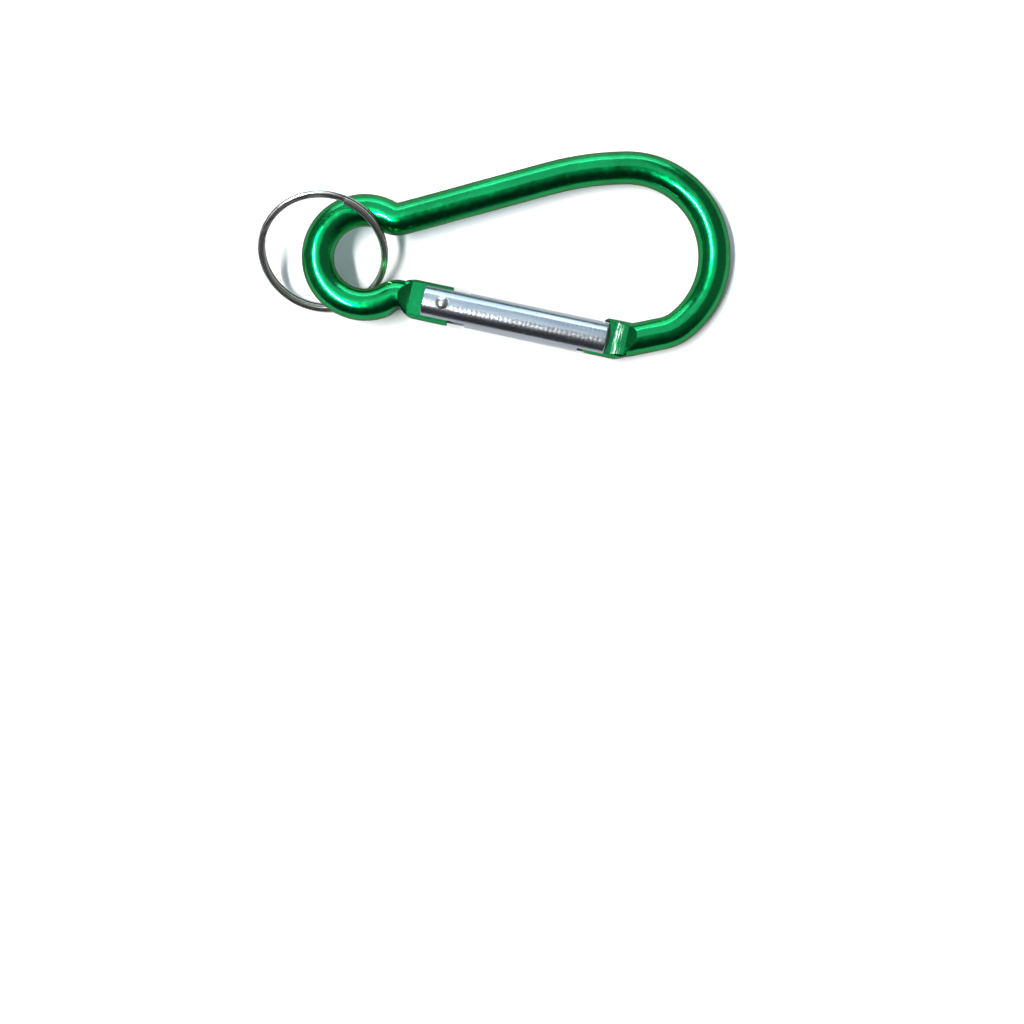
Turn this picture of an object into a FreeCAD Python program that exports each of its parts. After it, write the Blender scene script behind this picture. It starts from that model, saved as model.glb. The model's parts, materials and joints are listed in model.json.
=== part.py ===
import FreeCAD, Part
import math
import os
import Sketcher
from FreeCAD import Placement, Rotation, Vector

# Carabiner keyring: a bent rod hook with a small keeper loop and a large clip loop, a spring-loaded
# gate riveted to the flattened end of the rod, and a double-coil split ring through the small loop.
#
# Row frame: origin at the centre of the large loop's bend, on the rod's mid plane; +X runs from the
# small loop to the large loop, +Y away from the gate, +Z out of the hook's plane.
# Gate frame, used by the rod, the gate and all that sits in it: origin on the rivet's axis, +X along
# the closed gate towards the latch, +Y into the hook, +Z as in the row frame.

DRIVING = {
    # the rod and its centre line, in the gate frame
    "rod_diameter": 6.0,
    "big_loop_radius": 16.4,
    "big_loop_ahead": 31.56,
    "big_loop_inward": 16.15,
    "small_loop_radius": 8.8,
    "small_loop_behind": 16.04,
    "small_loop_inward": 5.7,
    "neck_radius": 3.1,
    "upper_rod_turn": 27.3,
    "upper_rod_offset": 17.7,
    "shoulder_radius": 58.0,
    "corner_radius": 8.0,
    "latch_leg_turn": 23.5,
    "latch_bend_radius": 5.0,
    "latch_bend_ahead": 34.4,
    "latch_offset": 0.43,
    "gate_slope": 12.0,
    # the two pressed tongues
    "tongue_thickness": 3.0,
    "tongue_width": 7.3,
    "bulge_height": 5.2,
    "bulge_nick": 0.05,
    "hinge_rod_end": 5.0,
    "hinge_bulge_start": 7.4,
    "hinge_bulge_full": 5.6,
    "hinge_ramp_start": 8.4,
    "hinge_flat_start": 6.2,
    "hinge_nose": 1.4,
    "latch_tip": 26.8,
    "latch_tip_round": 1.4,
    "latch_rod_end": 30.0,
    "latch_bulge_full": 33.2,
    "latch_bulge_end": 35.2,
    "latch_inner_end": 4.0,
    "latch_outer_end": -2.31,
    "latch_flat_end": 32.4,
    "latch_ridge": 33.3,
    "latch_ridge_height": 1.68,
    "latch_crease": 34.7,
    "latch_crease_height": 1.74,
    "latch_ramp_end": 36.4,
    "latch_step": 31.0,
    "latch_ledge": 1.97,
    "beak_tip": 30.2,
    "beak_underside": 3.45,
    "beak_slant": 0.65,
    "notch_ahead": 8.2,
    "notch_depth": 2.25,
    "notch_foot": 9.9,
    "notch_centre": 4.6,
    "dimple_behind": 5.3,
    "dimple_inward": 0.6,
    "dimple_diameter": 0.45,
    "dimple_depth": 0.12,
    # the gate
    "gate_diameter": 6.5,
    "gate_back": 3.8,
    "gate_front": 31.1,
    "gate_edge_round": 0.35,
    "bore_diameter": 4.0,
    "bore_floor": 17.0,
    "slot_height": 3.2,
    "hinge_slot_end": 4.7,
    "latch_slot_start": 26.1,
    "stop_wall_face": 2.0,
    "wall_cutback": 1.2,
    # rivet, plunger and spring
    "rivet_diameter": 1.6,
    "rivet_play": 0.05,
    "rivet_head_diameter": 2.3,
    "rivet_head_height": 0.42,
    "rivet_seat_diameter": 2.7,
    "rivet_seat_depth": 0.2,
    "plunger_diameter": 3.84,
    "plunger_gap": 0.05,
    "plunger_head_length": 5.0,
    "plunger_tail_diameter": 2.0,
    "plunger_tail_length": 2.2,
    "spring_wire": 0.5,
    "spring_coil_diameter": 3.1,
    "spring_turns": 8.0,
    # the split ring
    "ring_outer_diameter": 24.2,
    "ring_wire_width": 1.3,
    "ring_wire_height": 0.85,
    "ring_wire_round": 0.36,
    "ring_coil_gap": 0.06,
    "ring_end_angle": 65.6,
    "ring_crossover": 101.4,
    "ring_tilt": 36.0,
    "ring_behind_loop": 7.83,
    "ring_above_loop": 0.97,
    "ring_lift": -0.4,
}

PLACE_X = "0 - big_loop_ahead * cos( gate_slope ) - big_loop_inward * sin( gate_slope )"
PLACE_Y = "big_loop_ahead * sin( gate_slope ) - big_loop_inward * cos( gate_slope )"

document = FreeCAD.newDocument("carabiner_keyring")
sheet = document.addObject("Spreadsheet::Sheet", "Sizes")
for row, (alias, size) in enumerate(DRIVING.items(), start=1):
    sheet.set(f"A{row}", alias)
    sheet.set(f"B{row}", str(size))
    sheet.setAlias(f"B{row}", alias)
document.recompute()


# ---------------------------------------------------------------- expressions of driving dimensions

def cell(text):
    """The expression with each driving dimension's name turned into a reference to its cell."""
    words = text.split(" ")
    return " ".join(f"Sizes.{word}" if word in DRIVING else word for word in words)


def measure(text):
    """The number that an expression of the driving dimensions comes to."""
    return float(sheet.evalExpression(cell(text)))


def place_in_gate_frame(item):
    """Puts the item's origin on the rivet's axis and turns it to the gate's slope."""
    item.Placement = Placement(Vector(0, 0, 0), Rotation(Vector(0, 0, 1), -measure("gate_slope")))
    item.setExpression("Placement.Rotation.Angle", cell("0 - gate_slope"))
    item.setExpression("Placement.Base.x", cell(PLACE_X))
    item.setExpression("Placement.Base.y", cell(PLACE_Y))


# ---------------------------------------------------------------- bodies and sketches

def new_body(name):
    body = document.addObject("PartDesign::Body", name)
    body.Label = name
    place_in_gate_frame(body)
    return body


def new_sketch(body, name, role, offset=None):
    """A sketch on an origin plane of its body, moved along the plane's normal by an expression."""
    plane = next(item for item in body.Origin.OriginFeatures if item.Role == role)
    sketch = body.newObject("Sketcher::SketchObject", name)
    sketch.AttachmentSupport = [(plane, "")]
    sketch.MapMode = "FlatFace"
    if offset is not None:
        sketch.setExpression("AttachmentOffset.Base.z", cell(offset))
    return sketch


def bind(sketch, kind, *items, to):
    """Adds a dimension to the sketch and binds it to an expression."""
    start = measure(to)
    if kind == "Angle":
        start = math.radians(start)
    index = sketch.addConstraint(Sketcher.Constraint(kind, *items, start))
    sketch.setExpression(f"Constraints[{index}]", cell(to))


def pin_point(sketch, item, end, across, up):
    """Fixes a point of the sketch's geometry at expressions for its two coordinates."""
    bind(sketch, "DistanceX", -1, 1, item, end, to=across)
    bind(sketch, "DistanceY", -1, 1, item, end, to=up)


def add_circle(sketch, diameter, across="0", up="0"):
    centre = Vector(measure(across), measure(up), 0)
    radius = measure(diameter) / 2
    circle = sketch.addGeometry(Part.Circle(centre, Vector(0, 0, 1), radius), False)
    bind(sketch, "Diameter", circle, to=diameter)
    pin_point(sketch, circle, 3, across, up)


def add_ellipse(sketch, width, height, across="0"):
    """An ellipse centred on the sketch's horizontal axis, wide along it."""
    centre = Vector(measure(across), 0, 0)
    wide_end = centre + Vector(measure(width) / 2, 0, 0)
    high_end = centre + Vector(0, measure(height) / 2, 0)
    ellipse = sketch.addGeometry(Part.Ellipse(wide_end, high_end, centre), False)
    sketch.exposeInternalGeometry(ellipse)
    wide_line = ellipse + 1
    high_line = ellipse + 2
    sketch.addConstraint(Sketcher.Constraint("Horizontal", wide_line))
    bind(sketch, "Distance", wide_line, 1, wide_line, 2, to=width)
    bind(sketch, "Distance", high_line, 1, high_line, 2, to=height)
    pin_point(sketch, ellipse, 3, across, "0")


def add_polygon(sketch, corners):
    """A closed outline of straight sides through corners given as pairs of expressions."""
    points = [Vector(measure(across), measure(up), 0) for across, up in corners]
    sides = []
    for here, there in zip(points, points[1:] + points[:1]):
        sides.append(sketch.addGeometry(Part.LineSegment(here, there), False))
    for side, following in zip(sides, sides[1:] + sides[:1]):
        sketch.addConstraint(Sketcher.Constraint("Coincident", side, 2, following, 1))
    for side, (across, up) in zip(sides, corners):
        pin_point(sketch, side, 1, across, up)


def add_box(sketch, low_across, low_up, high_across, high_up):
    add_polygon(sketch, [
        (low_across, low_up),
        (high_across, low_up),
        (high_across, high_up),
        (low_across, high_up),
    ])


def extrude(body, kind, name, sketch, length, both_ways=False, backwards=False):
    """A Pad or a Pocket of the sketch with its length bound to an expression."""
    feature = body.newObject(f"PartDesign::{kind}", name)
    feature.Profile = sketch
    feature.setExpression("Length", cell(length))
    if both_ways:
        feature.SideType = "Symmetric"
    feature.Reversed = backwards
    return feature


def check_volume(name, before, after, grows):
    """Stops when a feature did nothing, or worked in the wrong direction."""
    if (after.Shape.Volume - before.Shape.Volume > 1e-3) != grows:
        raise ValueError(f"{name} changed the volume the wrong way")


# ---------------------------------------------------------------- frame_rod

def rod_centre_line():
    """Centres and joints of the arcs that the rod's centre line is made of, in the gate frame."""
    big = Vector(measure("big_loop_ahead"), measure("big_loop_inward"), 0)
    big_radius = measure("big_loop_radius")
    small = Vector(-measure("small_loop_behind"), measure("small_loop_inward"), 0)
    small_radius = measure("small_loop_radius")
    neck = measure("neck_radius")
    reach = small_radius + neck

    lower_neck = Vector(small.x + math.sqrt(reach ** 2 - (small.y + neck) ** 2), -neck, 0)

    turn = math.radians(measure("upper_rod_turn"))
    along = Vector(math.cos(turn), math.sin(turn), 0)
    out = Vector(-math.sin(turn), math.cos(turn), 0)
    rod_out = measure("upper_rod_offset")
    neck_out = (big - small).dot(out) + rod_out + neck
    upper_neck = small + out * neck_out + along * math.sqrt(reach ** 2 - neck_out ** 2)

    shoulder = measure("shoulder_radius")
    drop = shoulder - rod_out
    back = math.sqrt((shoulder - big_radius) ** 2 - drop ** 2)
    shoulder_centre = big - out * drop - along * back

    leg = math.radians(measure("latch_leg_turn"))
    leg_along = Vector(math.cos(leg), math.sin(leg), 0)
    leg_in = Vector(-math.sin(leg), math.cos(leg), 0)
    bend = Vector(measure("latch_bend_ahead"), measure("latch_offset"), 0)
    corner = measure("corner_radius")
    rise = (big - bend).dot(leg_in) - corner
    spread = math.sqrt((big_radius - corner) ** 2 - rise ** 2)
    corner_centre = big - leg_in * rise + leg_along * spread

    latch_radius = measure("latch_bend_radius")
    tangent = latch_radius * math.tan(leg / 2)
    latch_centre = bend + Vector(-tangent, latch_radius, 0)

    def towards(start, end, length):
        return start + (end - start).normalize() * length

    return {
        "start": Vector(-measure("hinge_rod_end"), 0, 0),
        "lower_neck": lower_neck,
        "lower_neck_start": Vector(lower_neck.x, 0, 0),
        "lower_neck_end": towards(small, lower_neck, small_radius),
        "small": small,
        "upper_neck": upper_neck,
        "upper_neck_start": towards(small, upper_neck, small_radius),
        "upper_neck_end": upper_neck - out * neck,
        "shoulder": shoulder_centre,
        "shoulder_start": shoulder_centre + out * shoulder,
        "shoulder_end": towards(shoulder_centre, big, shoulder),
        "big": big,
        "corner": corner_centre,
        "corner_start": towards(big, corner_centre, big_radius),
        "corner_end": corner_centre - leg_in * corner,
        "latch": latch_centre,
        "latch_start": bend + leg_along * tangent,
        "latch_end": bend - Vector(tangent, 0, 0),
        "end": Vector(measure("latch_rod_end"), measure("latch_offset"), 0),
    }


def add_arc(sketch, centre, start, end):
    """An arc about the centre, running anticlockwise from start to end."""
    first = math.atan2(start.y - centre.y, start.x - centre.x)
    last = math.atan2(end.y - centre.y, end.x - centre.x)
    if last < first:
        last += 2 * math.pi
    circle = Part.Circle(centre, Vector(0, 0, 1), (start - centre).Length)
    return sketch.addGeometry(Part.ArcOfCircle(circle, first, last), False)


def sketch_centre_line(body):
    """The hook's centre line: straight runs and arcs, each tangent to the next."""
    at = rod_centre_line()
    sketch = new_sketch(body, "CentreLine", "XY_Plane")

    def line(start, end):
        return sketch.addGeometry(Part.LineSegment(at[start], at[end]), False)

    def arc(centre, start, end, radius):
        index = add_arc(sketch, at[centre], at[start], at[end])
        bind(sketch, "Radius", index, to=radius)
        return index

    hinge_run = line("start", "lower_neck_start")
    lower_neck = arc("lower_neck", "lower_neck_start", "lower_neck_end", "neck_radius")
    small = arc("small", "upper_neck_start", "lower_neck_end", "small_loop_radius")
    upper_neck = arc("upper_neck", "upper_neck_start", "upper_neck_end", "neck_radius")
    upper_run = line("upper_neck_end", "shoulder_start")
    shoulder = arc("shoulder", "shoulder_end", "shoulder_start", "shoulder_radius")
    big = arc("big", "corner_start", "shoulder_end", "big_loop_radius")
    corner = arc("corner", "corner_end", "corner_start", "corner_radius")
    latch_leg = line("latch_start", "corner_end")
    latch_bend = arc("latch", "latch_end", "latch_start", "latch_bend_radius")
    latch_run = line("latch_end", "end")

    joints = [
        (hinge_run, 2, lower_neck, 1),
        (lower_neck, 2, small, 2),
        (small, 1, upper_neck, 1),
        (upper_neck, 2, upper_run, 1),
        (upper_run, 2, shoulder, 2),
        (shoulder, 1, big, 2),
        (big, 1, corner, 2),
        (corner, 1, latch_leg, 2),
        (latch_leg, 1, latch_bend, 2),
        (latch_bend, 1, latch_run, 1),
    ]
    for joint in joints:
        sketch.addConstraint(Sketcher.Constraint("Tangent", *joint))
    sketch.addConstraint(Sketcher.Constraint("Horizontal", hinge_run))
    sketch.addConstraint(Sketcher.Constraint("Horizontal", latch_run))
    pin_point(sketch, hinge_run, 1, "0 - hinge_rod_end", "0")
    pin_point(sketch, small, 3, "0 - small_loop_behind", "small_loop_inward")
    pin_point(sketch, big, 3, "big_loop_ahead", "big_loop_inward")
    pin_point(sketch, latch_run, 2, "latch_rod_end", "latch_offset")
    bind(sketch, "Angle", upper_run, to="upper_rod_turn")
    bind(sketch, "Distance", big, 3, upper_run, to="upper_rod_offset")
    bind(sketch, "Angle", latch_leg, to="latch_leg_turn")
    bind(sketch, "DistanceX", -1, 1, latch_bend, 3,
         to="latch_bend_ahead - latch_bend_radius * tan( latch_leg_turn / 2 )")
    return sketch


def add_tongue_bulges(body):
    """The rod's two ends, widened by the press: an oval bar over each, cut slantwise into the rod."""
    hinge_oval = new_sketch(body, "HingeOval", "YZ_Plane", offset="0 - hinge_bulge_start")
    add_ellipse(hinge_oval, "tongue_width", "bulge_height")
    extrude(body, "Pad", "HingeBulge", hinge_oval, "hinge_bulge_start + hinge_nose")
    latch_oval = new_sketch(body, "LatchOval", "YZ_Plane", offset="latch_bulge_end")
    add_ellipse(latch_oval, "tongue_width", "bulge_height", across="latch_offset")
    extrude(body, "Pad", "LatchBulge", latch_oval, "latch_bulge_end - latch_tip", backwards=True)

    slants = new_sketch(body, "SlantOutlines", "XY_Plane")
    half = "tongue_width / 2"
    slim = "rod_diameter / 2 - bulge_nick"
    for start, end, inner, outer in (
        ("0 - hinge_bulge_full", "0 - hinge_bulge_start", half, slim),
        ("latch_bulge_full", "latch_bulge_end", f"latch_offset + {half}", "latch_inner_end"),
        ("latch_bulge_full", "latch_bulge_end", f"latch_offset - {half}", "latch_outer_end"),
    ):
        clear = f"{inner} + 1" if measure(inner) > 0 else f"{inner} - 1"
        add_polygon(slants, [(start, inner), (end, outer), (end, clear), (start, clear)])
    return extrude(body, "Pocket", "Slants", slants, "rod_diameter", both_ways=True)


def press_tongues(body):
    """The flats and ramps that the press leaves above and below each tongue."""
    flat = "tongue_thickness / 2"
    crown = "rod_diameter / 2 + 1"
    for side, sign in (("Top", ""), ("Under", "0 - ")):
        hinge = new_sketch(body, f"Hinge{side}Die", "XZ_Plane")
        ramp = "( rod_diameter / 2 - tongue_thickness / 2 ) / ( hinge_ramp_start - hinge_flat_start )"
        add_polygon(hinge, [
            ("0 - hinge_flat_start", f"{sign}{flat}"),
            ("hinge_nose + 1", f"{sign}{flat}"),
            ("hinge_nose + 1", f"{sign}( {crown} )"),
            (f"0 - hinge_ramp_start - 1 / ( {ramp} )", f"{sign}( {crown} )"),
        ])
        extrude(body, "Pocket", f"Hinge{side}Press", hinge, "tongue_width * 1.3", both_ways=True)

        latch = new_sketch(body, f"Latch{side}Die", "XZ_Plane")
        rise = "( rod_diameter / 2 - latch_crease_height ) / ( latch_ramp_end - latch_crease )"
        add_polygon(latch, [
            ("latch_tip - 1", f"{sign}{flat}"),
            ("latch_flat_end", f"{sign}{flat}"),
            ("latch_ridge", f"{sign}latch_ridge_height"),
            ("latch_crease", f"{sign}latch_crease_height"),
            (f"latch_ramp_end + 1 / ( {rise} )", f"{sign}( {crown} )"),
            ("latch_tip - 1", f"{sign}( {crown} )"),
        ])
        extrude(body, "Pocket", f"Latch{side}Press", latch, "tongue_width * 1.4", both_ways=True)


def trim_tongues(body):
    """What is cut away in plan: the latch's ledge and beak, its rounded lip, the notch at the neck."""
    ledge = new_sketch(body, "LatchLedgeOutline", "XY_Plane")
    add_polygon(ledge, [
        ("latch_tip - 1", "latch_ledge"),
        ("latch_step", "latch_ledge"),
        ("latch_step", "beak_underside"),
        ("beak_tip", "beak_underside"),
        ("beak_tip + beak_slant", "beak_underside + beak_slant"),
        ("beak_tip + beak_slant", "tongue_width"),
        ("latch_tip - 1", "tongue_width"),
    ])
    extrude(body, "Pocket", "LatchLedge", ledge, "rod_diameter", both_ways=True)

    lip = new_sketch(body, "LatchLipOutline", "XY_Plane")
    outer = "latch_offset - tongue_width / 2"
    add_rounded_corner(
        lip, "latch_tip", outer, "latch_tip_round", "latch_tip - 1", f"{outer} - 1")
    extrude(body, "Pocket", "LatchLip", lip, "rod_diameter", both_ways=True)

    notch = new_sketch(body, "NeckNotchOutline", "XY_Plane")
    add_notch(notch)
    return extrude(body, "Pocket", "NeckNotch", notch, "rod_diameter + 1", both_ways=True)


def add_rounded_corner(sketch, across, up, radius, outside, below):
    """The waste outside a rounded lower left corner: a quarter arc closed by four straight sides."""
    low = Vector(measure(across), measure(up), 0)
    size = measure(radius)
    centre = low + Vector(size, size, 0)
    left = centre - Vector(size, 0, 0)
    bottom = centre - Vector(0, size, 0)
    far = Vector(measure(outside), measure(below), 0)
    arc = add_arc(sketch, centre, left, bottom)
    corners = [bottom, Vector(bottom.x, far.y, 0), far, Vector(far.x, left.y, 0), left]
    sides = []
    for here, there in zip(corners, corners[1:]):
        sides.append(sketch.addGeometry(Part.LineSegment(here, there), False))
    sketch.addConstraint(Sketcher.Constraint("Coincident", arc, 2, sides[0], 1))
    for side, following in zip(sides, sides[1:]):
        sketch.addConstraint(Sketcher.Constraint("Coincident", side, 2, following, 1))
    sketch.addConstraint(Sketcher.Constraint("Coincident", sides[-1], 2, arc, 1))
    for index, kind in enumerate(("Vertical", "Horizontal", "Vertical", "Horizontal")):
        sketch.addConstraint(Sketcher.Constraint(kind, sides[index]))
    pin_point(sketch, arc, 3, f"{across} + {radius}", f"{up} + {radius}")
    pin_point(sketch, arc, 1, across, f"{up} + {radius}")
    bind(sketch, "DistanceX", -1, 1, arc, 2, to=f"{across} + {radius}")
    pin_point(sketch, sides[2], 1, outside, below)


def add_notch(sketch):
    """The notch between the small loop and the tongue, whose tongue side is the tongue's round corner."""
    radius = measure("tongue_width / 2")
    centre = Vector(-measure("notch_centre"), 0, 0)
    depth = measure("notch_depth")
    on_round = Vector(centre.x - math.sqrt(radius ** 2 - depth ** 2), -depth, 0)
    foot = Vector(centre.x, -radius, 0)
    outside = measure("tongue_width / 2 + 1")
    corners = [
        foot,
        Vector(foot.x, -outside, 0),
        Vector(-measure("notch_foot"), -outside, 0),
        Vector(-measure("notch_ahead"), -depth, 0),
        on_round,
    ]
    arc = add_arc(sketch, centre, on_round, foot)
    sides = []
    for here, there in zip(corners, corners[1:]):
        sides.append(sketch.addGeometry(Part.LineSegment(here, there), False))
    sketch.addConstraint(Sketcher.Constraint("Coincident", arc, 2, sides[0], 1))
    for side, following in zip(sides, sides[1:]):
        sketch.addConstraint(Sketcher.Constraint("Coincident", side, 2, following, 1))
    sketch.addConstraint(Sketcher.Constraint("Coincident", sides[-1], 2, arc, 1))
    bind(sketch, "Radius", arc, to="tongue_width / 2")
    pin_point(sketch, arc, 3, "0 - notch_centre", "0")
    sketch.addConstraint(Sketcher.Constraint("Vertical", sides[0]))
    sketch.addConstraint(Sketcher.Constraint("Horizontal", sides[1]))
    sketch.addConstraint(Sketcher.Constraint("Horizontal", sides[3]))
    bind(sketch, "DistanceX", -1, 1, arc, 2, to="0 - notch_centre")
    pin_point(sketch, sides[2], 1, "0 - notch_foot", "0 - tongue_width / 2 - 1")
    pin_point(sketch, sides[3], 1, "0 - notch_ahead", "0 - notch_depth")


def make_frame_rod():
    body = new_body("frame_rod")
    centre_line = sketch_centre_line(body)
    section = new_sketch(body, "RodSection", "YZ_Plane", offset="0 - hinge_rod_end")
    add_circle(section, "rod_diameter")
    rod = body.newObject("PartDesign::AdditivePipe", "Rod")
    rod.Profile = section
    rod.Spine = (centre_line, [])
    document.recompute()

    bulged = add_tongue_bulges(body)
    document.recompute()
    check_volume("the tongue bulges", rod, bulged, grows=True)

    press_tongues(body)
    trimmed = trim_tongues(body)
    document.recompute()
    check_volume("the tongue cuts", bulged, trimmed, grows=False)

    hole = new_sketch(body, "RivetHoleOutline", "XY_Plane")
    add_circle(hole, "rivet_diameter + 2 * rivet_play")
    extrude(body, "Pocket", "RivetHole", hole, "rod_diameter", both_ways=True)
    dimple = new_sketch(body, "DimpleOutline", "XY_Plane", offset="tongue_thickness / 2")
    add_circle(dimple, "dimple_diameter", "0 - dimple_behind", "dimple_inward")
    dimpled = extrude(body, "Pocket", "Dimple", dimple, "dimple_depth")
    document.recompute()
    check_volume("the hinge hole", trimmed, dimpled, grows=False)
    return body


# ---------------------------------------------------------------- gate

def make_gate():
    """A round bar bored for the spring and slotted at both ends for the rod's tongues."""
    body = new_body("gate")
    bar_end = new_sketch(body, "BarSection", "YZ_Plane", offset="0 - gate_back")
    add_circle(bar_end, "gate_diameter")
    bar = extrude(body, "Pad", "Bar", bar_end, "gate_back + gate_front")
    document.recompute()

    ends = [f"Edge{index}" for index, edge in enumerate(bar.Shape.Edges, start=1)
            if isinstance(edge.Curve, Part.Circle)]
    rounded = body.newObject("PartDesign::Fillet", "EndRounds")
    rounded.Base = (bar, ends)
    rounded.setExpression("Radius", cell("gate_edge_round"))
    document.recompute()

    bore_end = new_sketch(body, "BoreSection", "YZ_Plane", offset="0 - gate_back")
    add_circle(bore_end, "bore_diameter")
    bored = extrude(body, "Pocket", "Bore", bore_end, "gate_back + bore_floor", backwards=True)
    document.recompute()
    check_volume("the spring bore", rounded, bored, grows=False)

    slots = new_sketch(body, "SlotOutlines", "XY_Plane")
    add_box(slots, "0 - gate_back - 1", "0 - gate_diameter", "hinge_slot_end", "gate_diameter")
    add_polygon(slots, [
        ("latch_slot_start", "0 - gate_diameter"),
        ("gate_front + 1", "0 - gate_diameter"),
        ("gate_front + 1", "gate_diameter"),
        ("gate_front - wall_cutback", "gate_diameter"),
        ("gate_front - wall_cutback", "stop_wall_face"),
        ("latch_slot_start", "stop_wall_face"),
    ])
    slotted = extrude(body, "Pocket", "Slots", slots, "slot_height", both_ways=True)
    document.recompute()
    check_volume("the slots", bored, slotted, grows=False)

    hole = new_sketch(body, "RivetHoleOutline", "XY_Plane")
    add_circle(hole, "rivet_diameter")
    extrude(body, "Pocket", "RivetHole", hole, "gate_diameter", both_ways=True)
    seat_height = "gate_diameter / 2 - rivet_seat_depth"
    upper_seat = new_sketch(body, "UpperSeatOutline", "XY_Plane", offset=seat_height)
    add_circle(upper_seat, "rivet_seat_diameter")
    extrude(body, "Pocket", "UpperSeat", upper_seat, "1", backwards=True)
    lower_seat = new_sketch(body, "LowerSeatOutline", "XY_Plane", offset=f"0 - ( {seat_height} )")
    add_circle(lower_seat, "rivet_seat_diameter")
    seated = extrude(body, "Pocket", "LowerSeat", lower_seat, "1")
    document.recompute()
    check_volume("the rivet holes", slotted, seated, grows=False)
    return body


# ---------------------------------------------------------------- hinge_rivet, plunger

def revolve(body, sketch, name, axis_role):
    feature = body.newObject("PartDesign::Revolution", name)
    feature.Profile = sketch
    feature.ReferenceAxis = (sketch, [axis_role])
    feature.Angle = 360
    return feature


def make_hinge_rivet():
    """A plain shank with a low domed head peened over at each end."""
    body = new_body("hinge_rivet")
    sketch = new_sketch(body, "HalfSection", "XZ_Plane")
    shank = measure("rivet_diameter / 2")
    head = measure("rivet_head_diameter / 2")
    seat = measure("gate_diameter / 2 - rivet_seat_depth")
    top = seat + measure("rivet_head_height")
    dome_radius = (head ** 2 + (top - seat) ** 2) / (2 * (top - seat))
    upper_centre = Vector(0, top - dome_radius, 0)
    lower_centre = Vector(0, dome_radius - top, 0)

    axis = sketch.addGeometry(Part.LineSegment(Vector(0, -top, 0), Vector(0, top, 0)), False)
    upper_dome = add_arc(sketch, upper_centre, Vector(head, seat, 0), Vector(0, top, 0))
    upper_rim = sketch.addGeometry(Part.LineSegment(Vector(head, seat, 0), Vector(shank, seat, 0)), False)
    side = sketch.addGeometry(Part.LineSegment(Vector(shank, seat, 0), Vector(shank, -seat, 0)), False)
    lower_rim = sketch.addGeometry(Part.LineSegment(Vector(shank, -seat, 0), Vector(head, -seat, 0)), False)
    lower_dome = add_arc(sketch, lower_centre, Vector(0, -top, 0), Vector(head, -seat, 0))
    joints = [
        (axis, 2, upper_dome, 2),
        (upper_dome, 1, upper_rim, 1),
        (upper_rim, 2, side, 1),
        (side, 2, lower_rim, 1),
        (lower_rim, 2, lower_dome, 2),
        (lower_dome, 1, axis, 1),
    ]
    for joint in joints:
        sketch.addConstraint(Sketcher.Constraint("Coincident", *joint))
    seat_height = "gate_diameter / 2 - rivet_seat_depth"
    top_height = f"{seat_height} + rivet_head_height"
    pin_point(sketch, axis, 1, "0", f"0 - ( {top_height} )")
    pin_point(sketch, axis, 2, "0", top_height)
    pin_point(sketch, upper_rim, 1, "rivet_head_diameter / 2", seat_height)
    pin_point(sketch, upper_rim, 2, "rivet_diameter / 2", seat_height)
    pin_point(sketch, lower_rim, 1, "rivet_diameter / 2", f"0 - ( {seat_height} )")
    pin_point(sketch, lower_rim, 2, "rivet_head_diameter / 2", f"0 - ( {seat_height} )")
    bind(sketch, "DistanceX", -1, 1, upper_dome, 3, to="0")
    bind(sketch, "DistanceX", -1, 1, lower_dome, 3, to="0")
    revolve(body, sketch, "Rivet", "V_Axis")
    return body


def make_plunger():
    """A flat-headed pin in the gate's bore, with a thin tail that holds the spring's end."""
    body = new_body("plunger")
    sketch = new_sketch(body, "HalfSection", "XZ_Plane")
    face = "hinge_nose + plunger_gap"
    shoulder = f"{face} + plunger_head_length"
    add_polygon(sketch, [
        (face, "0"),
        (f"{shoulder} + plunger_tail_length", "0"),
        (f"{shoulder} + plunger_tail_length", "plunger_tail_diameter / 2"),
        (shoulder, "plunger_tail_diameter / 2"),
        (shoulder, "plunger_diameter / 2"),
        (face, "plunger_diameter / 2"),
    ])
    revolve(body, sketch, "Pin", "H_Axis")
    return body


# ---------------------------------------------------------------- spring

def make_spring():
    """A compression coil between the plunger's shoulder and the floor of the gate's bore."""
    start = "hinge_nose + plunger_gap + plunger_head_length + spring_wire / 2"
    length = f"( bore_floor - spring_wire / 2 - ( {start} ) )"
    helix = document.addObject("Part::Helix", "SpringHelix")
    helix.setExpression("Radius", cell("spring_coil_diameter / 2"))
    helix.setExpression("Height", cell(length))
    helix.setExpression("Pitch", cell(f"{length} / spring_turns"))
    wire = document.addObject("Part::Circle", "SpringWire")
    wire.setExpression("Radius", cell("spring_wire / 2"))
    wire.Placement = Placement(Vector(0, 0, 0), Rotation(Vector(1, 0, 0), 90))
    wire.setExpression("Placement.Base.x", cell("spring_coil_diameter / 2"))
    coil = document.addObject("Part::Sweep", "spring")
    coil.Label = "spring"
    coil.Sections = [wire]
    coil.Spine = (helix, ["Edge1"])
    coil.Solid = True
    coil.Frenet = True
    rivet = Placement(Vector(measure(PLACE_X), measure(PLACE_Y), 0),
                      Rotation(Vector(0, 0, 1), -measure("gate_slope")))
    along_gate = Placement(Vector(measure(start), 0, 0), Rotation(Vector(0, 1, 0), 90))
    coil.Placement = rivet.multiply(along_gate)
    return coil


# ---------------------------------------------------------------- split_ring

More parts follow.
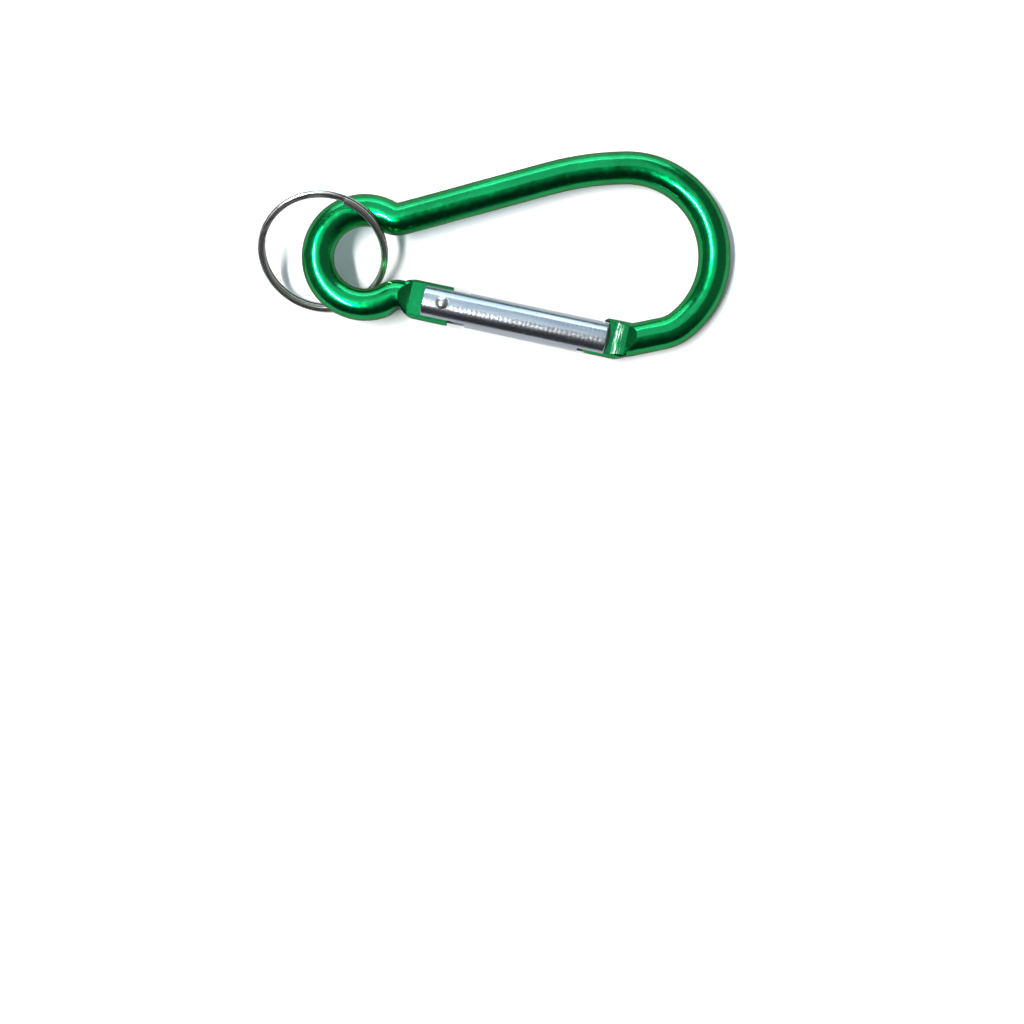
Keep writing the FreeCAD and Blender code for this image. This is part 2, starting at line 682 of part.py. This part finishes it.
def wire_section(middle, level):
    """The ring wire's rounded section at angle zero, in the plane through the ring's axis."""
    half_width = measure("ring_wire_width / 2")
    half_height = measure("ring_wire_height / 2")
    corner = measure("ring_wire_round")
    slant = corner * (1 - math.sqrt(0.5))
    edges = []
    for turn in range(4):
        wide, high = (half_width, half_height) if turn % 2 == 0 else (half_height, half_width)
        spin = Rotation(Vector(0, -1, 0), 90 * turn)
        points = [
            Vector(wide, 0, corner - high),
            Vector(wide, 0, high - corner),
            Vector(wide - slant, 0, high - slant),
            Vector(wide - corner, 0, high),
        ]
        low, upper, bend, side = [spin.multVec(point) + Vector(middle, 0, level) for point in points]
        edges.append(Part.LineSegment(low, upper).toShape())
        edges.append(Part.Arc(upper, bend, side).toShape())
    return Part.Wire(edges)


def make_split_ring():
    """Flat wire in two layers that lie side by side and cross over between the wire's two ends."""
    middle = measure("ring_outer_diameter / 2 - ring_wire_width / 2")
    lift = measure("( ring_wire_height + ring_coil_gap ) / 2")
    end_angle = measure("ring_end_angle")
    crossover = measure("ring_crossover")
    centre = Vector(0, 0, 0)
    axis = Vector(0, 0, 1)

    layers = []
    for level in (-lift, lift):
        face = Part.Face(wire_section(middle, level))
        face.rotate(centre, axis, end_angle + crossover)
        layers.append(face.revolve(centre, axis, 360 - crossover))

    rise = 2 * lift
    spine = Part.makeHelix(rise * 360 / crossover, rise, middle)
    ramp = Part.Wire(spine).makePipeShell([wire_section(middle, 0)], True, True)
    ramp.translate(Vector(0, 0, -lift))
    ramp.rotate(centre, axis, end_angle)

    ring = document.addObject("Part::Feature", "split_ring")
    ring.Label = "split_ring"
    ring.Shape = layers[0].fuse([ramp, layers[1]], 1e-3).removeSplitter()
    ring.Placement = Placement(centre, Rotation(Vector(1, 0, 0), measure("ring_tilt")))
    ring.setExpression("Placement.Rotation.Angle", cell("ring_tilt"))
    ring.setExpression("Placement.Base.x", cell(
        f"{PLACE_X} - small_loop_behind * cos( gate_slope ) + small_loop_inward * sin( gate_slope )"
        " - ring_behind_loop"))
    ring.setExpression("Placement.Base.y", cell(
        f"{PLACE_Y} + small_loop_behind * sin( gate_slope ) + small_loop_inward * cos( gate_slope )"
        " + ring_above_loop"))
    ring.setExpression("Placement.Base.z", cell("ring_lift"))
    return ring


# ---------------------------------------------------------------- the document, checked and written

sub_parts = [
    make_frame_rod(),
    make_gate(),
    make_hinge_rivet(),
    make_plunger(),
    make_spring(),
    make_split_ring(),
]
document.recompute()

for item in document.Objects:
    if "Invalid" in item.State or "Error" in item.State:
        raise ValueError(f"{item.Label} failed: {item.State}")
for part in sub_parts:
    if part.Shape.isNull() or not part.Shape.isValid() or len(part.Shape.Solids) != 1:
        raise ValueError(f"{part.Label} is not one valid solid")

os.makedirs("parts", exist_ok=True)
for part in sub_parts:
    part.Shape.exportStep(f"parts/{part.Label}.step")
    print(part.Label, round(part.Shape.Volume, 2), "mm3")
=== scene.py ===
import json
import math

import bpy
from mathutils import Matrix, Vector


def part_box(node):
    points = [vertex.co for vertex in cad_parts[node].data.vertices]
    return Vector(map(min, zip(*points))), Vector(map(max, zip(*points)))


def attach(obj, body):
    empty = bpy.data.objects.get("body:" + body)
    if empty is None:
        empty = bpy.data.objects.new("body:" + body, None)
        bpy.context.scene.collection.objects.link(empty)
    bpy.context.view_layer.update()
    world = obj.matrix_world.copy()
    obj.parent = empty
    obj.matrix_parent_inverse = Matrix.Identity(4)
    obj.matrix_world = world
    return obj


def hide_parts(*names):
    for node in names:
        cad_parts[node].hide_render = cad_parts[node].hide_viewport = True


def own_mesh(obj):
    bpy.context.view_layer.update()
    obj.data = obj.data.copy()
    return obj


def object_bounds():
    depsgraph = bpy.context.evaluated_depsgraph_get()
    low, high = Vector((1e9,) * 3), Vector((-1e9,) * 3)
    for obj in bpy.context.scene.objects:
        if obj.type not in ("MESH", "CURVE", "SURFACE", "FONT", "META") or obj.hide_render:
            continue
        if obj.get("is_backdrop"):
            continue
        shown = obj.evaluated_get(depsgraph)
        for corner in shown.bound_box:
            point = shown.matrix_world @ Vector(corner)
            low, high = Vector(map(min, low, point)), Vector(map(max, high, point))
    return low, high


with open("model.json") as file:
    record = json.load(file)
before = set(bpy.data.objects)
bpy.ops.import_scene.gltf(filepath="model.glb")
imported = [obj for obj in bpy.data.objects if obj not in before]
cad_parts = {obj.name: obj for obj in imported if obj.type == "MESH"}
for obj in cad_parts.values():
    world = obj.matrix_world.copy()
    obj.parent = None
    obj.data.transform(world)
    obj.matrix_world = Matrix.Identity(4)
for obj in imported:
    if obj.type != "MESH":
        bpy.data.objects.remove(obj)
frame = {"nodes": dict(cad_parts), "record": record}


def note_size(label, notes):
    """Keeps the shown object's box, as plain lists."""
    low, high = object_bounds()
    notes[label] = [list(low), list(high)]


sizes = {}
note_size("frame", sizes)

# ---------------------------------------------------------------- places, in metres and radians

hinge = next(joint for joint in frame["record"]["behaviour"]["joints"] if joint["name"] == "gate_hinge")
RIVET = tuple(hinge["pos_m"])
GATE_SLOPE = math.radians(-12.0)
GATE_TURN = (0.0, 0.0, GATE_SLOPE)
RING_TURN = (math.radians(36.0), 0.0, 0.0)

# The rod's pressed flats lie lower than the first band, and the upright share of their normals is above
# the second. Across a band the look changes over to a rougher finish and a darker green, which is painted
# shade.
FLAT_TOP = (0.00185, 0.00195)
FLAT_FACING = (0.86, 0.90)

# The ridge by the latch, whitened as scratched metal worn through the dye, partly real wear and partly a
# painted highlight: along the gate from the rivet, it comes in over the first band and goes out over the
# second.
RIDGE_STARTS = (0.0322, 0.0328)
RIDGE_ENDS = (0.0340, 0.0334)

# Painted shade in the seam between the ring's coils: full up to the first distance either side, gone past
# the second.
SEAM_SHADE_WIDTHS = (0.00006, 0.00013)

# The hook rests on its ring near one end and on its rod near the other, just clear of the floor.
RING_TOUCH_X = -0.0567
ROD_TOUCH_X = 0.0165
FLOOR_GAP = 0.00005
FLOOR_SIZE = 2.0

LIT_POINT = Vector((-0.021, 0.0, 0.0))
CAMERA_PLACE = (-0.02133, -0.04777, 0.250)
CAMERA_SENSOR_MM = 36.0
SEEN_WIDTH = 0.1909

# ---------------------------------------------------------------- colours, linear

GREEN_DEEP = (0.0, 0.28, 0.070)
GREEN_LIGHT = (0.0, 0.36, 0.095)
# Painted shade for the pressed flats.
GREEN_FLAT_PAINTED_SHADE = (0.0, 0.085, 0.024)
GREEN_SPECKLE = (0.01, 0.52, 0.18)
GREEN_TINT = (0.0, 0.04, 0.02, 1.0)
# Whitish worn metal for the ridge by the latch: partly real wear, partly a painted highlight.
WORN_METAL_AND_HIGHLIGHT = (0.62, 0.74, 0.70)
GATE_DARK = (0.38, 0.41, 0.45)
GATE_LIGHT = (0.50, 0.53, 0.57)
RING_DARK = (0.17, 0.16, 0.145)
RING_LIGHT = (0.82, 0.81, 0.78)
RING_WORN = (0.62, 0.61, 0.59)
# Painted shade for the seam between the ring's coils.
RING_SEAM_SHADE = (0.03, 0.028, 0.025)
PAPER = (0.86, 0.86, 0.87)
PAPER_IN_METAL = (0.48, 0.48, 0.49)
SURROUND_DARK = (0.035, 0.035, 0.04)
SURROUND_MID = (0.20, 0.20, 0.175)
SURROUND_SEEN = (0.93, 0.94, 0.95)

# ---------------------------------------------------------------- node trees

# The Mix node's colour sockets share their names with its other sockets, so they go by number.
MIX_FIRST = 6
MIX_SECOND = 7
MIX_RESULT = 2


class Nodes:
    """A node tree, with short calls for the nodes used here."""

    def __init__(self, tree):
        self.nodes = tree.nodes
        self.links = tree.links
        coordinates = self.nodes.new("ShaderNodeTexCoord")
        self.place = coordinates.outputs["Object"]
        self.facing = coordinates.outputs["Normal"]
        self.generated = coordinates.outputs["Generated"]

    def feed(self, node, socket, item):
        """Links an output to a socket, or sets the socket to a number or a colour."""
        if isinstance(item, bpy.types.NodeSocket):
            self.links.new(item, node.inputs[socket])
        elif isinstance(item, tuple):
            node.inputs[socket].default_value = (*item, 1.0)
        else:
            node.inputs[socket].default_value = item

    def placed(self, origin=(0.0, 0.0, 0.0), rotation=(0.0, 0.0, 0.0), scale=(1.0, 1.0, 1.0)):
        """Object coordinates as seen from a frame with this origin, these angles and this scale."""
        node = self.nodes.new("ShaderNodeMapping")
        node.vector_type = "TEXTURE"
        node.inputs["Location"].default_value = origin
        node.inputs["Rotation"].default_value = rotation
        node.inputs["Scale"].default_value = scale
        self.links.new(self.place, node.inputs["Vector"])
        return node.outputs["Vector"]

    def split(self, vector):
        node = self.nodes.new("ShaderNodeSeparateXYZ")
        self.links.new(vector, node.inputs["Vector"])
        return node.outputs["X"], node.outputs["Y"], node.outputs["Z"]

    def combine(self, first, second):
        node = self.nodes.new("ShaderNodeCombineXYZ")
        self.links.new(first, node.inputs["X"])
        self.links.new(second, node.inputs["Y"])
        return node.outputs["Vector"]

    def noise(self, scale, detail=3.0, roughness=0.5, vector=None):
        node = self.nodes.new("ShaderNodeTexNoise")
        node.inputs["Scale"].default_value = scale
        node.inputs["Detail"].default_value = detail
        node.inputs["Roughness"].default_value = roughness
        self.links.new(self.place if vector is None else vector, node.inputs["Vector"])
        return node.outputs["Fac"]

    def waves(self, scale, distortion, detail, detail_scale, vector):
        node = self.nodes.new("ShaderNodeTexWave")
        node.inputs["Scale"].default_value = scale
        node.inputs["Distortion"].default_value = distortion
        node.inputs["Detail"].default_value = detail
        node.inputs["Detail Scale"].default_value = detail_scale
        self.links.new(vector, node.inputs["Vector"])
        return node.outputs["Fac"]

    def span(self, source, low, high, to_low=0.0, to_high=1.0, kind="LINEAR"):
        """Carries the range low to high over to another range, and stops at its ends."""
        node = self.nodes.new("ShaderNodeMapRange")
        node.interpolation_type = kind
        node.inputs["From Min"].default_value = low
        node.inputs["From Max"].default_value = high
        node.inputs["To Min"].default_value = to_low
        node.inputs["To Max"].default_value = to_high
        self.links.new(source, node.inputs["Value"])
        return node.outputs["Result"]

    def calc(self, kind, first, second=0.0):
        node = self.nodes.new("ShaderNodeMath")
        node.operation = kind
        self.feed(node, 0, first)
        self.feed(node, 1, second)
        return node.outputs["Value"]

    def times(self, first, second):
        return self.calc("MULTIPLY", first, second)

    def mix(self, share, first, second):
        node = self.nodes.new("ShaderNodeMix")
        node.data_type = "RGBA"
        self.links.new(share, node.inputs["Factor"])
        self.feed(node, MIX_FIRST, first)
        self.feed(node, MIX_SECOND, second)
        return node.outputs[MIX_RESULT]

    def bump(self, height, strength, distance, normal=None):
        node = self.nodes.new("ShaderNodeBump")
        node.inputs["Strength"].default_value = strength
        node.inputs["Distance"].default_value = distance
        self.links.new(height, node.inputs["Height"])
        if normal is not None:
            self.links.new(normal, node.inputs["Normal"])
        return node.outputs["Normal"]


class Shader(Nodes):
    """A material and its tree."""

    def __init__(self, name):
        self.material = bpy.data.materials.new(name)
        self.material.use_nodes = True
        super().__init__(self.material.node_tree)
        self.surface = self.nodes["Principled BSDF"]

    def set(self, **values):
        for name, value in values.items():
            self.surface.inputs[name.replace("_", " ")].default_value = value

    def colour(self, source):
        self.links.new(source, self.surface.inputs["Base Color"])

    def roughness(self, source):
        self.links.new(source, self.surface.inputs["Roughness"])

    def normal(self, source):
        self.links.new(source, self.surface.inputs["Normal"])


# ---------------------------------------------------------------- materials


def green_anodised():
    """Dyed anodising: clear and glossy on the rod; dull on the pressed flats, with painted shade darkening
    their green; scratched and whitened on the ridge, partly real wear and partly a painted highlight.
    """
    shader = Shader("green_anodised")
    shader.set(Metallic=1.0, Coat_Weight=0.3, Coat_Roughness=0.05, Coat_IOR=1.55, Specular_Tint=GREEN_TINT)
    height = shader.calc("ABSOLUTE", shader.split(shader.place)[2])
    upright = shader.calc("ABSOLUTE", shader.split(shader.facing)[2])
    low = shader.span(height, *FLAT_TOP, 1.0, 0.0)
    pressed = shader.times(low, shader.span(upright, *FLAT_FACING))

    cloudy = shader.span(shader.noise(160.0, detail=2.0), 0.35, 0.65)
    # The darker green on the pressed flats is painted shade.
    tone = shader.mix(pressed, shader.mix(cloudy, GREEN_DEEP, GREEN_LIGHT), GREEN_FLAT_PAINTED_SHADE)
    speckle = shader.span(shader.noise(5200.0, detail=2.0), 0.60, 0.72)
    speckled = shader.mix(shader.times(speckle, 0.3), tone, GREEN_SPECKLE)

    along = shader.split(shader.placed(RIVET, GATE_TURN))[0]
    ridge = shader.times(shader.span(along, *RIDGE_STARTS), shader.span(along, *RIDGE_ENDS))
    grooved = shader.placed(rotation=GATE_TURN, scale=(0.00022, 0.0030, 1.0))
    scratches = shader.noise(1.0, detail=5.0, roughness=0.7, vector=grooved)
    # The ridge's whitish metal is partly real wear and partly a painted highlight.
    worn_and_highlight = shader.times(shader.span(scratches, 0.50, 0.60), shader.times(ridge, pressed))
    shader.colour(shader.mix(shader.times(worn_and_highlight, 0.8), speckled, WORN_METAL_AND_HIGHLIGHT))

    glossy = shader.span(shader.noise(900.0, detail=4.0), 0.3, 0.7, 0.17, 0.26)
    shader.roughness(shader.calc("ADD", glossy, shader.times(pressed, 0.22)))
    wavy = shader.bump(shader.noise(260.0, detail=2.0), strength=0.25, distance=0.0004)
    grain = shader.bump(shader.noise(3800.0), strength=0.12, distance=0.00005, normal=wavy)
    scored = shader.times(scratches, pressed)
    shader.normal(shader.bump(scored, strength=0.5, distance=0.00006, normal=grain))
    return shader.material


def satin_gate():
    """Drawn and tumbled bar: fine lines along it, faint chatter across it, bluish steel grey."""
    shader = Shader("satin_gate")
    shader.set(Metallic=1.0)
    drawn = shader.placed(rotation=GATE_TURN, scale=(0.012, 0.0011, 0.0011))
    lines = shader.noise(1.0, detail=4.0, roughness=0.6, vector=drawn)
    grain = shader.noise(3000.0, detail=4.0, roughness=0.7)
    shader.colour(shader.mix(shader.span(lines, 0.35, 0.65), GATE_DARK, GATE_LIGHT))
    shader.roughness(shader.span(grain, 0.35, 0.65, 0.17, 0.27))
    at_gate = shader.placed(RIVET, GATE_TURN)
    bands = shader.waves(370.0, distortion=3.0, detail=2.0, detail_scale=2.0, vector=at_gate)
    chatter = shader.bump(bands, strength=0.6, distance=0.000008)
    brushed = shader.bump(lines, strength=0.15, distance=0.00006, normal=chatter)
    shader.normal(shader.bump(grain, strength=0.13, distance=0.00003, normal=brushed))
    return shader.material


def plain_steel(name, dark, light, rough):
    """Plain metal with a slow change of tone, a fine grain and this roughness at its middle."""
    shader = Shader(name)
    shader.set(Metallic=1.0)
    shader.colour(shader.mix(shader.span(shader.noise(700.0), 0.35, 0.65), dark, light))
    grain = shader.noise(5000.0)
    shader.roughness(shader.span(grain, 0.3, 0.7, rough - 0.06, rough + 0.08))
    shader.normal(shader.bump(grain, strength=0.15, distance=0.00003))
    return shader.material


def ring_steel():
    """Flat drawn wire: fine lines run round the ring, and painted shade darkens the seam between its
    coils.
    """
    shader = Shader("ring_steel")
    shader.set(Metallic=1.0)
    low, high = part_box("split_ring")
    centre = ((low.x + high.x) / 2, (low.y + high.y) / 2, (low.z + high.z) / 2)
    across, up, height = shader.split(shader.placed(centre, RING_TURN))
    square = shader.calc("ADD", shader.times(across, across), shader.times(up, up))
    radius = shader.calc("SQRT", square)
    lines = shader.noise(6500.0, detail=2.0, roughness=0.6, vector=shader.combine(radius, height))
    wire = shader.mix(shader.span(lines, 0.38, 0.62), RING_DARK, RING_LIGHT)
    worn = shader.mix(shader.span(shader.noise(260.0), 0.45, 0.70), wire, RING_WORN)
    # The dark seam between the coils is painted shade.
    seam = shader.span(shader.calc("ABSOLUTE", height), *SEAM_SHADE_WIDTHS, 1.0, 0.0)
    shader.colour(shader.mix(seam, worn, RING_SEAM_SHADE))
    shader.roughness(shader.span(lines, 0.3, 0.7, 0.20, 0.34))
    shader.normal(shader.bump(lines, strength=0.5, distance=0.00004))
    return shader.material


materials = {
    "frame_rod": green_anodised(),
    "gate": satin_gate(),
    "hinge_rivet": plain_steel("rivet_aluminium", (0.66, 0.67, 0.69), (0.80, 0.81, 0.82), 0.20),
    "plunger": plain_steel("pin_steel", (0.42, 0.42, 0.43), (0.55, 0.55, 0.56), 0.26),
    "spring": plain_steel("spring_steel", (0.30, 0.30, 0.31), (0.44, 0.44, 0.45), 0.24),
    "split_ring": ring_steel(),
}
for name, material in materials.items():
    mesh = frame["nodes"][name].data
    mesh.materials.clear()
    mesh.materials.append(material)

# ---------------------------------------------------------------- the spring, copied with its own mesh onto the gate's body (the real spring shortens with the pin)

coil = frame["nodes"]["spring"].copy()
coil.data = coil.data.copy()
coil.name = "spring_coil"
bpy.context.scene.collection.objects.link(coil)
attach(coil, "gate")
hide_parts("spring")
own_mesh(coil)

# ---------------------------------------------------------------- floor, lights, surround, camera

ring_touch = Vector((RING_TOUCH_X, 0.0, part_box("split_ring")[0].z - FLOOR_GAP))
rod_touch = Vector((ROD_TOUCH_X, 0.0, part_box("frame_rod")[0].z - FLOOR_GAP))
slope = math.atan2(rod_touch.z - ring_touch.z, rod_touch.x - ring_touch.x)


def white_paper():
    """Paper that looks darker in the metal than to the camera."""
    shader = Shader("white_paper")
    shader.set(Roughness=0.7)
    rays = shader.nodes.new("ShaderNodeLightPath")
    shader.colour(shader.mix(rays.outputs["Is Glossy Ray"], PAPER, PAPER_IN_METAL))
    shader.normal(shader.bump(shader.noise(400.0, detail=4.0), strength=0.05, distance=0.0001))
    return shader.material


bpy.ops.mesh.primitive_plane_add(size=FLOOR_SIZE)
floor = bpy.context.object
floor.name = "floor"
floor.rotation_euler = (0, -slope, 0)
floor.location = (ring_touch + rod_touch) / 2
floor.data.materials.append(white_paper())
floor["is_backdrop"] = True


def area_light(name, off_zenith, towards, distance, width, height, radiance, tint=(1.0, 1.0, 1.0)):
    """A panel facing the hook, with angles in degrees and its brightness as seen in a mirror."""
    tilt = math.radians(off_zenith)
    heading = math.radians(towards)
    sideways = math.sin(tilt)
    direction = Vector((sideways * math.cos(heading), sideways * math.sin(heading), math.cos(tilt)))
    data = bpy.data.lights.new(name, "AREA")
    data.shape = "RECTANGLE"
    data.size = width
    data.size_y = height
    data.energy = radiance * math.pi * width * height
    data.color = tint
    light = bpy.data.objects.new(name, data)
    bpy.context.scene.collection.objects.link(light)
    light.location = LIT_POINT + direction * distance
    light.rotation_euler = direction.to_track_quat("Z", "Y").to_euler()
    light.visible_camera = False


area_light("softbox", 27, 95, 1.0, width=0.56, height=1.00, radiance=0.80, tint=(0.73, 0.95, 1.14))
area_light("low_band", 72, 95, 1.0, width=1.20, height=0.46, radiance=1.90, tint=(0.72, 0.96, 1.20))
area_light("strip", 58, 95, 1.0, width=1.00, height=0.08, radiance=5.5, tint=(0.74, 0.96, 1.14))
area_light("key", 22, 191, 1.2, width=0.78, height=0.09, radiance=112.0)


def dim_world():
    """A dim surround that darkens towards -Y, but is pale where the camera sees it."""
    world = bpy.data.worlds.new("dim_studio")
    world.use_nodes = True
    shader = Nodes(world.node_tree)
    rise = shader.span(shader.split(shader.generated)[1], -0.75, -0.10, kind="SMOOTHSTEP")
    tones = shader.mix(rise, SURROUND_DARK, SURROUND_MID)
    rays = shader.nodes.new("ShaderNodeLightPath")
    shown = shader.mix(rays.outputs["Is Camera Ray"], tones, SURROUND_SEEN)
    shader.links.new(shown, shader.nodes["Background"].inputs["Color"])
    return world


bpy.context.scene.world = dim_world()
bpy.context.scene.view_settings.view_transform = "Standard"

camera_data = bpy.data.cameras.new("camera")
camera_data.sensor_width = CAMERA_SENSOR_MM
camera_data.lens = CAMERA_SENSOR_MM * CAMERA_PLACE[2] / SEEN_WIDTH
camera = bpy.data.objects.new("camera", camera_data)
bpy.context.scene.collection.objects.link(camera)
camera.location = CAMERA_PLACE
bpy.context.scene.camera = camera

# ---------------------------------------------------------------- sizes, and the end

note_size("shown", sizes)
